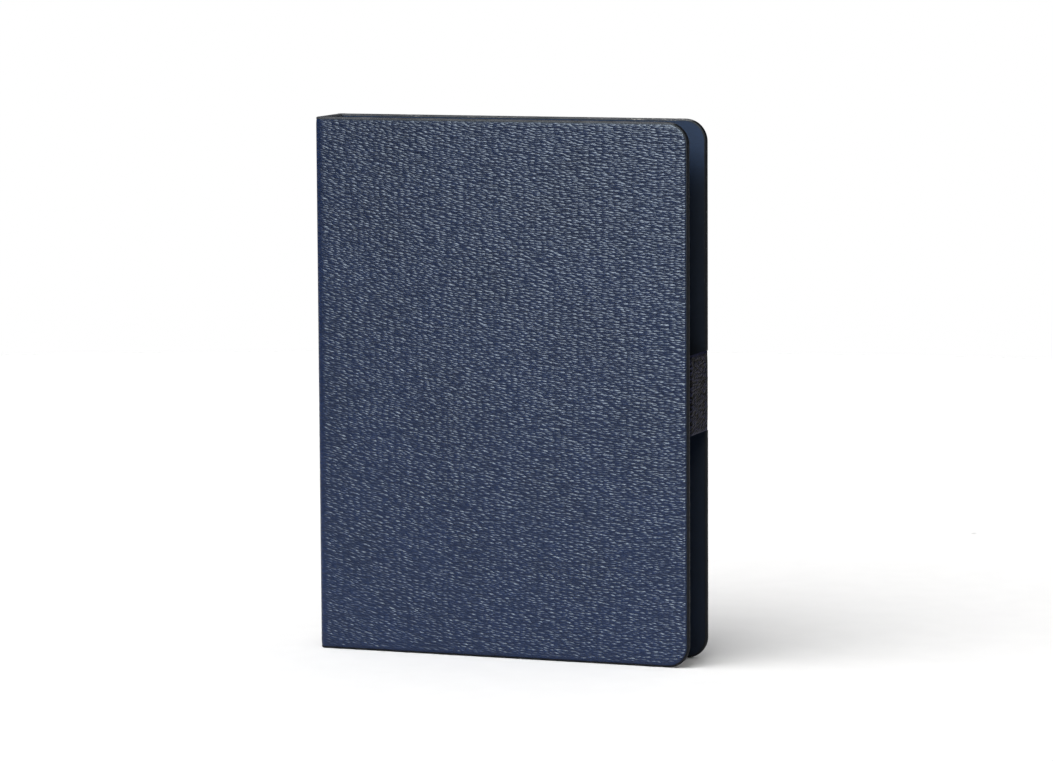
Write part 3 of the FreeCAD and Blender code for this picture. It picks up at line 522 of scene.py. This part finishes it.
class Nodes:
    """Short calls that add and wire a material's nodes."""

    def __init__(self, name):
        self.material = bpy.data.materials.new(name)
        self.material.use_nodes = True
        self.tree = self.material.node_tree
        self.tree.nodes.clear()

    def add(self, kind, settings=None, **inputs):
        """One node with its settings, and its inputs wired or set; returns the node."""
        node = self.tree.nodes.new(kind)
        for key, value in (settings or {}).items():
            setattr(node, key, value)
        for key, value in inputs.items():
            self.put(node.inputs[key.replace("_", " ")], value)
        return node

    def put(self, socket, value):
        """Wires an output to the socket, or sets a constant on it."""
        if isinstance(value, bpy.types.NodeSocket):
            self.tree.links.new(value, socket)
        else:
            socket.default_value = value

    def calc(self, operation, *values):
        """One arithmetic node."""
        node = self.add("ShaderNodeMath", {"operation": operation})
        for socket, value in zip(node.inputs, values):
            self.put(socket, value)
        return node.outputs[0]

    def ramp(self, value, low, high, start=0.0, stop=1.0):
        """Smooth change from start to stop as value goes from low to high."""
        settings = {"interpolation_type": "SMOOTHSTEP"}
        node = self.add(
            "ShaderNodeMapRange", settings, Value=value, From_Min=low, From_Max=high,
            To_Min=start, To_Max=stop,
        )
        return node.outputs[0]

    def mix(self, share, first, second):
        """Colour between first and second."""
        node = self.add("ShaderNodeMix", {"data_type": "RGBA"})
        self.put(node.inputs[0], share)
        self.put(node.inputs[6], first)
        self.put(node.inputs[7], second)
        return node.outputs[2]

    def noise(self, vector, scale, detail=3.0, roughness=0.5):
        """Noise between 0 and 1."""
        node = self.add("ShaderNodeTexNoise", {}, Vector=vector, Scale=scale, Detail=detail,
                        Roughness=roughness)
        return node.outputs[0]

    def bump(self, height, distance, normal=None):
        """Surface relief this many metres high."""
        node = self.add("ShaderNodeBump", {}, Height=height, Strength=1.0, Distance=distance)
        if normal is not None:
            self.put(node.inputs["Normal"], normal)
        return node.outputs[0]

    def laid_flat(self):
        """The piece's own flat map, in metres, as separate run and height."""
        uv = self.add("ShaderNodeUVMap", {"uv_map": "laid_flat"}).outputs[0]
        parts = self.add("ShaderNodeSeparateXYZ", {}, Vector=uv)
        return parts.outputs[0], parts.outputs[1]

    def object_place(self):
        """Object coordinates."""
        return self.add("ShaderNodeTexCoord").outputs["Object"]

    def vector(self, x, y, z=0.0):
        """A vector of three values."""
        return self.add("ShaderNodeCombineXYZ", {}, X=x, Y=y, Z=z).outputs[0]

    def value(self, name):
        """The piece's own value of this name."""
        node = self.add("ShaderNodeAttribute", {"attribute_name": name})
        return node.outputs["Fac"]

    def finish(self, base, roughness, normal=None, **constants):
        """The surface shader and the output; returns the material."""
        shader = self.add("ShaderNodeBsdfPrincipled")
        self.put(shader.inputs["Base Color"], base)
        self.put(shader.inputs["Roughness"], roughness)
        if normal is not None:
            self.put(shader.inputs["Normal"], normal)
        for key, value in constants.items():
            shader.inputs[key.replace("_", " ")].default_value = value
        output = self.add("ShaderNodeOutputMaterial")
        self.tree.links.new(shader.outputs[0], output.inputs[0])
        return self.material


def opaque(rgb, gain=1.0):
    """A colour with full alpha, made lighter or darker by gain."""
    return (*[min(1.0, c * gain) for c in rgb], 1.0)


def leather_finish(name, rgb, grain, scale=1.0, lean=None, relief=None, shine=0.37, gloss=0.29,
                   hollow=0.75):
    """Pebbled leather: leaning oblong cells with creases between, fine wrinkles and faint patches, the
    creases darkened with painted shade.
    """
    n = Nodes(name)
    run, height = n.laid_flat()
    lean = lean or (grain.lean_at_spine, grain.lean_at_edge)
    slope = math.tan(lean[0])
    change = (math.tan(lean[1]) - slope) / 0.17 / 2
    fall = n.calc("MULTIPLY_ADD", n.calc("MULTIPLY", run, run), change,
                  n.calc("MULTIPLY_ADD", run, slope, height))
    plain = n.vector(run, height)
    bend = n.calc("SUBTRACT", n.noise(plain, 170.0 / scale, 2.0), 0.5)
    fall = n.calc("MULTIPLY_ADD", bend, grain.wander * scale, fall)
    long = n.calc("DIVIDE", run, grain.pebble_length * scale)
    tall = n.calc("DIVIDE", fall, grain.pebble_height * scale)
    cells = n.vector(long, tall)
    dome = n.add("ShaderNodeTexVoronoi", {"feature": "F1"}, Vector=cells, Scale=1.0,
                 Randomness=grain.spread)
    away = n.calc("MINIMUM", dome.outputs["Distance"], 0.9)
    away = n.calc("SQRT", n.calc("MULTIPLY_ADD", away, away, 0.02))
    pebble = n.calc("SUBTRACT", 1.0, away)
    wrinkle = n.noise(cells, 2.1, 3.0, 0.55)
    swell = n.noise(cells, 0.45, 2.0)
    form = n.calc("MULTIPLY_ADD", swell, grain.swell, pebble)
    form = n.calc("MULTIPLY_ADD", wrinkle, grain.wrinkles, form)
    strength = n.value("grain_depth")
    form = n.calc("MULTIPLY", form, strength)
    normal = n.bump(form, (relief or grain.relief) * scale)
    patch = n.ramp(n.noise(plain, 34.0, 3.0), 0.3, 0.7, 0.92, 1.08)
    # Painted shade: the base colour is darkened in the creases between the pebbles, down to hollow
    # there.
    painted_crease_shade = n.ramp(pebble, 0.35, 0.70, hollow, 1.0)
    tone = n.calc("MULTIPLY", patch, n.calc("MAXIMUM", painted_crease_shade, n.calc("SUBTRACT", 1.0, strength)))
    base = n.mix(tone, opaque(rgb, 0.0), opaque(rgb, 1.0))
    rough = n.ramp(wrinkle, 0.3, 0.7, shine, shine + 0.08)
    return n.finish(base, rough, normal, Specular_IOR_Level=gloss)


def lining_finish(name, rgb, top=None):
    """Close sheet: fine felted specks and a soft sheen; where a top is given, painted shade darkens it
    below that top.
    """
    n = Nodes(name)
    place = n.object_place()
    fine = n.noise(place, 2600.0, 3.0, 0.6)
    broad = n.noise(place, 45.0, 3.0)
    tone = n.calc("MULTIPLY", n.ramp(fine, 0.3, 0.7, 0.80, 1.1), n.ramp(broad, 0.3, 0.7, 0.94, 1.05))
    # Painted shade: down from the top, the sheet is darkened to about a quarter. This stands for the
    # light that falls into the gap only from above.
    if top:
        height = n.add("ShaderNodeSeparateXYZ", {}, Vector=place).outputs[2]
        tone = n.calc("MULTIPLY", tone, n.ramp(height, top - 0.034, top - 0.003, 0.26, 1.0))
    base = n.mix(tone, opaque(rgb, 0.0), opaque(rgb))
    return n.finish(base, n.ramp(fine, 0.3, 0.7, 0.66, 0.82), n.bump(fine, 0.00005),
                    Specular_IOR_Level=0.15, Sheen_Weight=0.03, Sheen_Roughness=0.5)


def paint_finish(name, colours, top):
    """Edge paint: dark and a little lumpy; a painted highlight lightens the top of the case, and pale
    specks on the back cover's top edge are partly worn paint and partly painted highlight.
    """
    n = Nodes(name)
    place = n.object_place()
    parts = n.add("ShaderNodeSeparateXYZ", {}, Vector=place)
    x, y, z = parts.outputs
    lumps = n.noise(place, 900.0, 3.0, 0.55)
    streaky = n.vector(n.calc("MULTIPLY", x, 0.35), y, z)
    specks = n.ramp(n.noise(streaky, 1300.0, 3.0, 0.7), 0.52, 0.66)
    broad = n.ramp(n.noise(n.vector(x, 0.0), 24.0, 2.0), 0.46, 0.58)
    # Painted highlight: the rims' top faces are lightened in streaks, as the light from above would
    # light them.
    on_top = n.ramp(z, top - 0.0011, top - 0.0006)
    painted_highlight = n.calc("MULTIPLY", on_top, n.ramp(n.noise(streaky, 420.0, 3.0), 0.25, 0.7, 0.45, 1.0))
    with_painted_highlight = n.mix(painted_highlight, opaque(colours.paint), opaque(colours.painted_highlight))
    # Pale specks on the back cover's top edge, only part way along it: partly worn paint, partly
    # painted highlight where the light from above catches the edge.
    behind = n.ramp(y, 0.0, 0.002)
    rubbed_and_highlit = n.calc("MULTIPLY", n.calc("MULTIPLY", specks, broad), n.calc("MULTIPLY", on_top, behind))
    base = n.mix(rubbed_and_highlit, with_painted_highlight, opaque(colours.rubbed_and_highlit))
    return n.finish(base, n.ramp(lumps, 0.3, 0.7, 0.50, 0.66), n.bump(lumps, 0.00012),
                    Specular_IOR_Level=0.15)


def board_finish(name, rgb):
    """Grey board: pressed fibres lying in the sheet, with dark and light flecks."""
    n = Nodes(name)
    place = n.object_place()
    fibres = n.noise(place, 700.0, 5.0, 0.7)
    flecks = n.ramp(n.noise(place, 1900.0, 2.0), 0.62, 0.72, 1.0, 0.6)
    tone = n.calc("MULTIPLY", n.ramp(fibres, 0.25, 0.75, 0.82, 1.12), flecks)
    base = n.mix(tone, opaque(rgb, 0.0), opaque(rgb))
    return n.finish(base, 0.92, n.bump(fibres, 0.00008), Specular_IOR_Level=0.3)


def metal_finish(name, rgb, roughness, brushed=0.0):
    """Metal: fine polish lines along Z and a soft patchy gloss."""
    n = Nodes(name)
    place = n.object_place()
    parts = n.add("ShaderNodeSeparateXYZ", {}, Vector=place)
    drawn = n.vector(parts.outputs[0], parts.outputs[1], n.calc("MULTIPLY", parts.outputs[2], 0.04))
    lines = n.noise(drawn, 4200.0, 2.0)
    patch = n.noise(place, 130.0, 3.0)
    rough = n.calc("MULTIPLY_ADD", patch, 0.10, roughness - 0.05)
    tone = n.ramp(n.noise(place, 55.0, 3.0), 0.3, 0.7, 0.93, 1.03)
    base = n.mix(tone, opaque(rgb, 0.0), opaque(rgb))
    return n.finish(base, rough, n.bump(lines, 0.000012 + 0.00002 * brushed), Metallic=1.0)


def leaf_finish(name, rgb, rule):
    """Log paper: faint fibres, sheet lines on the cut edges, and the ruled table of a log page."""
    n = Nodes(name)
    place = n.object_place()
    parts = n.add("ShaderNodeSeparateXYZ", {}, Vector=place)
    x, y, z = parts.outputs
    facing = n.add("ShaderNodeTexCoord").outputs["Normal"]
    toward = n.calc("ABSOLUTE", n.add("ShaderNodeSeparateXYZ", {}, Vector=facing).outputs[1])
    sheets = n.calc("PINGPONG", n.calc("MULTIPLY", y, 5000.0), 0.5)
    edge = n.ramp(sheets, 0.05, 0.3, 0.62, 1.0)
    row = n.calc("PINGPONG", n.calc("ADD", z, 0.002), TABLE_ROW)
    column = n.calc("PINGPONG", n.calc("ADD", x, 0.004), TABLE_COLUMN)
    lines = n.calc("MINIMUM", row, column)
    inside = n.ramp(x, TABLE_LEFT, TABLE_LEFT + HAIR)
    for within in (
        n.ramp(x, TABLE_RIGHT, TABLE_RIGHT + HAIR, 1.0, 0.0),
        n.ramp(z, TABLE_FOOT, TABLE_FOOT + HAIR),
        n.ramp(z, TABLE_HEAD, TABLE_HEAD + HAIR, 1.0, 0.0),
    ):
        inside = n.calc("MULTIPLY", inside, within)
    ink = n.calc("MULTIPLY", n.ramp(lines, 0.00007, 0.00013, 0.75, 0.0), inside)
    ink = n.calc("MULTIPLY", ink, n.ramp(toward, 0.6, 0.9))
    fibres = n.noise(place, 900.0, 4.0, 0.6)
    tone = n.calc("MULTIPLY", n.ramp(fibres, 0.3, 0.7, 0.96, 1.03),
                  n.calc("MAXIMUM", edge, n.ramp(toward, 0.6, 0.9)))
    paper = n.mix(tone, opaque(rgb, 0.0), opaque(rgb))
    base = n.mix(ink, paper, opaque(rule))
    return n.finish(base, 0.78, n.bump(fibres, 0.00002), Specular_IOR_Level=0.3)


def floor_finish(name):
    """White studio floor with a trace of tooth."""
    n = Nodes(name)
    tooth = n.noise(n.object_place(), 60.0, 3.0)
    tone = n.ramp(tooth, 0.3, 0.7, 0.985, 1.0)
    base = n.mix(tone, (0.0, 0.0, 0.0, 1.0), (0.93, 0.925, 0.92, 1.0))
    return n.finish(base, 0.9, n.bump(tooth, 0.00002), Specular_IOR_Level=0.2)


# ---------------------------------------------------------------- shared by the operators


def coat(piece, material):
    """Gives the whole piece this one material."""
    slots = piece.data.materials
    if len(slots) == 0:
        slots.append(material)
    for index in range(len(slots)):
        slots[index] = material


def finished(slot, make, *values, **more):
    """The finish for one material slot, made the first time it is asked for."""
    name = slot + "_finish"
    return bpy.data.materials.get(name) or make(name, *values, **more)


def hide_leather(scene):
    """Navy pebbled leather of the case."""
    return finished("navy_leather", leather_finish, scene.logbook_colours.hide, scene.logbook_grain)


def lining_sheet(scene):
    """Smooth lining of the case and the strap's facing, darkened below the top of the case by painted
    shade.
    """
    return finished("navy_lining", lining_finish, scene.logbook_colours.lining, COVER_HIGH.z)


def strap_leather(scene):
    """Darker strap leather, its grain rising towards the back cover."""
    lean = (math.radians(-15.0), math.radians(-15.0))
    # The strap's creases take painted shade at full strength, down to black.
    return finished("strap_leather", leather_finish, scene.logbook_colours.strap,
                    scene.logbook_grain, scale=1.10, lean=lean, relief=0.0018, shine=0.50, gloss=0.05,
                    hollow=0.0)


class LOGBOOK_OT_hides(bpy.types.Operator):
    """Makes the two halves of the outer leather, each bending at its own fold"""

    bl_idname = "logbook.hides"
    bl_label = "Outer Leather"

    def execute(self, context):
        case = Case(context.scene.logbook_covers)
        halves = (("front_hide", FRONT, "front_cover"), ("back_hide", BACK, "back_cover"))
        for name, side, cover in halves:
            piece = make_hide(case, name, side)
            coat(piece, hide_leather(context.scene))
            ride_fold(piece)
        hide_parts("spine_leather", "front_fold_leather", "front_leather")
        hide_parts("back_fold_leather", "back_leather")
        return {"FINISHED"}


def ride_fold(piece):
    """Bakes the piece's placement into its points; nothing makes it follow the spine or the cover."""
    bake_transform(piece)


class LOGBOOK_OT_rims(bpy.types.Operator):
    """Makes the painted rims of both halves of the case"""

    bl_idname = "logbook.rims"
    bl_label = "Painted Rims"

    def execute(self, context):
        scene = context.scene
        case = Case(scene.logbook_covers)
        paint = finished("edge_paint", paint_finish, scene.logbook_colours, COVER_HIGH.z)
        front = make_rim(case, "front_rim", FRONT)
        back = make_rim(case, "back_rim", BACK, gap=(STRAP_LOW.z, STRAP_HIGH.z))
        for piece, side, cover in ((front, FRONT, "front_cover"), (back, BACK, "back_cover")):
            coat(piece, paint)
            ride_fold(piece)
        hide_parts("front_edge_paint", "spine_edge_paint")
        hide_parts("back_edge_paint")
        return {"FINISHED"}


class LOGBOOK_OT_linings(bpy.types.Operator):
    """Makes the lining sheets of both halves of the case"""

    bl_idname = "logbook.linings"
    bl_label = "Linings"

    def execute(self, context):
        scene = context.scene
        case = Case(scene.logbook_covers)
        sheet = lining_sheet(scene)
        halves = (("front_inside", FRONT, "front_cover"), ("back_inside", BACK, "back_cover"))
        for name, side, cover in halves:
            piece = make_lining(case, name, side)
            coat(piece, sheet)
            ride_fold(piece)
        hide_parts("front_lining", "spine_lining")
        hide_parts("back_lining")
        return {"FINISHED"}


class LOGBOOK_OT_strap(bpy.types.Operator):
    """Makes the closing strap from its root on the back cover to its tongue"""

    bl_idname = "logbook.strap"
    bl_label = "Strap"

    def execute(self, context):
        scene = context.scene
        strap = scene.logbook_strap
        root_path, tongue_path = strap_paths(strap)
        leather = strap_leather(scene)
        root = ribbon("strap_root", root_path, strap, STRAP_LOW.z, STRAP_HIGH.z)
        tongue = ribbon("strap_tip", tongue_path, strap, STRAP_LOW.z, STRAP_HIGH.z)
        for piece in (root, tongue):
            coat(piece, leather)
        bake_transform(root)
        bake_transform(tongue)
        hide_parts("strap_anchor", "strap_panel")
        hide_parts("strap_tongue")
        return {"FINISHED"}


class LOGBOOK_OT_hardware(bpy.types.Operator):
    """Finishes the boards, the magnet and its plate, and the ring mechanism"""

    bl_idname = "logbook.hardware"
    bl_label = "Boards and Mechanism"

    def execute(self, context):
        scene = context.scene
        colours = scene.logbook_colours
        board = finished("grey_board", board_finish, colours.board)
        lining = lining_sheet(scene)
        nickel = finished("nickel_steel", metal_finish, colours.nickel, 0.16)
        steel = finished("plain_steel", metal_finish, colours.steel, 0.34, 1.0)
        magnet = finished("magnet", metal_finish, colours.magnet, 0.30)
        rivet = finished("rivet_steel", metal_finish, colours.nickel, 0.22)
        groups = (
            (board, ("spine_board", "front_board", "back_board")),
            (lining, ("tongue_facing",)),
            (nickel, ("mechanism_shell", "front_ring_halves", "rear_ring_halves")),
            (nickel, ("top_lever", "bottom_lever")),
            (steel, ("front_blade", "rear_blade", "front_striker_plate")),
            (magnet, ("tongue_magnet",)),
            (rivet, ("lever_pins", "mounting_rivets")),
        )
        for material, nodes in groups:
            for node in nodes:
                coat(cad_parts[node], material)
        return {"FINISHED"}


class LOGBOOK_OT_leaves(bpy.types.Operator):
    """Finishes the log leaves and the card flyleaves"""

    bl_idname = "logbook.leaves"
    bl_label = "Leaves"

    def execute(self, context):
        colours = context.scene.logbook_colours
        paper = finished("log_paper", leaf_finish, colours.paper, colours.rule)
        card = finished("flyleaf_card", lining_finish, colours.card)
        for node in ("front_log_leaves", "rear_log_leaves"):
            coat(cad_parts[node], paper)
        for node in ("front_flyleaf", "rear_flyleaf"):
            coat(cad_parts[node], card)
        return {"FINISHED"}


# ---------------------------------------------------------------- stage


def floor_mesh(name, centre, wide, deep, rings=24, spokes=96):
    """Oval floor at height 0: its half-widths times the ring's share, turned by the spoke's angle."""
    share = np.linspace(0.001, 1, rings)[:, None]
    angle = np.linspace(0, 2 * math.pi, spokes, endpoint=False)[None, :]
    x = centre[0] + wide * share * np.cos(angle)
    y = centre[1] + deep * share * np.sin(angle)
    points = np.stack(np.broadcast_arrays(x, y, -0.00002), -1)
    below = points - np.array([0.0, 0.0, 0.004])
    rows = np.concatenate([points, below[::-1]])
    quads = grid_quads(2 * rings, spokes, wrap=True)
    flat = rows[..., :2].reshape(-1, 2)
    return put_mesh(name, rows.reshape(-1, 3), quads, flat)


def add_light(name, kind, position, target, **settings):
    """A light at a position, turned towards a target."""
    data = bpy.data.lights.new(name, kind)
    for key, value in settings.items():
        setattr(data, key, value)
    light = bpy.data.objects.new(name, data)
    bpy.context.collection.objects.link(light)
    light.location = position
    way = Vector(target) - Vector(position)
    light.rotation_euler = way.to_track_quat("-Z", "Y").to_euler()
    return light


def add_camera(stage, target):
    """The camera, at its angles and distance from the target, with its small roll."""
    data = bpy.data.cameras.new("camera")
    data.sensor_width = 36.0
    data.lens = stage.lens
    data.clip_start, data.clip_end = 0.05, 200.0
    camera = bpy.data.objects.new("camera", data)
    bpy.context.collection.objects.link(camera)
    az, el = stage.azimuth, stage.elevation
    back = Vector((math.sin(az) * math.cos(el), -math.cos(az) * math.cos(el), math.sin(el)))
    right = Vector((math.cos(az), math.sin(az), 0.0))
    up = back.cross(right)
    c, s = math.cos(stage.roll), math.sin(stage.roll)
    axes = Matrix((right * c + up * s, up * c - right * s, back)).transposed()
    camera.matrix_world = Matrix.Translation(target + back * stage.distance) @ axes.to_4x4()
    bpy.context.scene.camera = camera
    return camera


def light_room(stage):
    """Even white light from all round, and white where the camera looks past the floor."""
    world = bpy.data.worlds.new("room")
    bpy.context.scene.world = world
    world.use_nodes = True
    tree = world.node_tree
    tree.nodes.clear()
    path = tree.nodes.new("ShaderNodeLightPath")
    strength = tree.nodes.new("ShaderNodeMapRange")
    strength.inputs["To Min"].default_value = stage.room
    strength.inputs["To Max"].default_value = 1.0
    background = tree.nodes.new("ShaderNodeBackground")
    background.inputs["Color"].default_value = (1.0, 1.0, 1.0, 1.0)
    output = tree.nodes.new("ShaderNodeOutputWorld")
    tree.links.new(path.outputs["Is Camera Ray"], strength.inputs["Value"])
    tree.links.new(strength.outputs[0], background.inputs["Strength"])
    tree.links.new(background.outputs[0], output.inputs["Surface"])


class LOGBOOK_OT_stage(bpy.types.Operator):
    """Makes the white floor, the studio lights and the camera"""

    bl_idname = "logbook.stage"
    bl_label = "Stage"

    def execute(self, context):
        stage = context.scene.logbook_stage
        floor = floor_mesh("floor", (0.1, 0.40), stage.floor_wide, stage.floor_deep)
        coat(floor, finished("studio_floor", floor_finish))
        target = Vector((0.0075, -0.0015, 0.118))
        add_camera(stage, target)
        light_room(stage)
        az = stage.azimuth
        right = Vector((math.cos(az), math.sin(az), 0.0))
        near = Vector((math.sin(az), -math.cos(az), 0.0))
        up = Vector((0.0, 0.0, 1.0))
        key = right * -0.62 + near * 0.52 + up * 1.12
        for name, way, energy, angle in (
            ("key", key, stage.key, stage.key_angle), ("fill", up, stage.fill, stage.fill_angle),
        ):
            sun = add_light(name, "SUN", target + way, target, energy=energy, angle=angle)
            sun.visible_glossy = False
        above = Vector((0.0, 0.0, COVER_HIGH.z)) + right * -0.12 + near * 0.60 + up * 0.40
        soft = add_light("top", "AREA", above, target + up * 0.05, energy=stage.top, shape="RECTANGLE",
                         size=0.50, size_y=0.34, color=(0.78, 0.91, 1.0))
        soft.visible_diffuse = False
        context.scene.view_settings.view_transform = "Standard"
        return {"FINISHED"}


class LOGBOOK_PT_panel(bpy.types.Panel):
    """Lists the pieces of the logbook and their sizes"""

    bl_idname = "LOGBOOK_PT_panel"
    bl_label = "Pilot Logbook"
    bl_space_type = "VIEW_3D"
    bl_region_type = "UI"
    bl_category = "Logbook"

    def draw(self, context):
        for operator in OPERATORS:
            self.layout.operator(operator.bl_idname)
        for group in GROUPS:
            box = self.layout.box()
            values = getattr(context.scene, group)
            for key in values.bl_rna.properties.keys():
                if key not in ("rna_type", "name"):
                    box.prop(values, key)


OPERATORS = (
    LOGBOOK_OT_stage,
    LOGBOOK_OT_hides,
    LOGBOOK_OT_rims,
    LOGBOOK_OT_linings,
    LOGBOOK_OT_strap,
    LOGBOOK_OT_hardware,
    LOGBOOK_OT_leaves,
)
GROUPS = {
    "logbook_covers": LogbookCovers,
    "logbook_strap": LogbookStrap,
    "logbook_grain": LogbookGrain,
    "logbook_colours": LogbookColours,
    "logbook_stage": LogbookStage,
}


def register():
    """Registers the groups, the operators and the panel."""
    for name, group in GROUPS.items():
        bpy.utils.register_class(group)
        setattr(bpy.types.Scene, name, PointerProperty(type=group))
    for operator in OPERATORS:
        bpy.utils.register_class(operator)
    bpy.utils.register_class(LOGBOOK_PT_panel)


def unregister():
    """Takes the panel, the operators and the groups away again."""
    bpy.utils.unregister_class(LOGBOOK_PT_panel)
    for operator in reversed(OPERATORS):
        bpy.utils.unregister_class(operator)
    for name, group in reversed(GROUPS.items()):
        delattr(bpy.types.Scene, name)
        bpy.utils.unregister_class(group)


def main():
    """Makes every piece in order."""
    register()
    bpy.ops.logbook.stage()
    bpy.ops.logbook.hides()
    bpy.ops.logbook.rims()
    bpy.ops.logbook.linings()
    bpy.ops.logbook.strap()
    bpy.ops.logbook.hardware()
    bpy.ops.logbook.leaves()


if __name__ == "__main__":
    main()
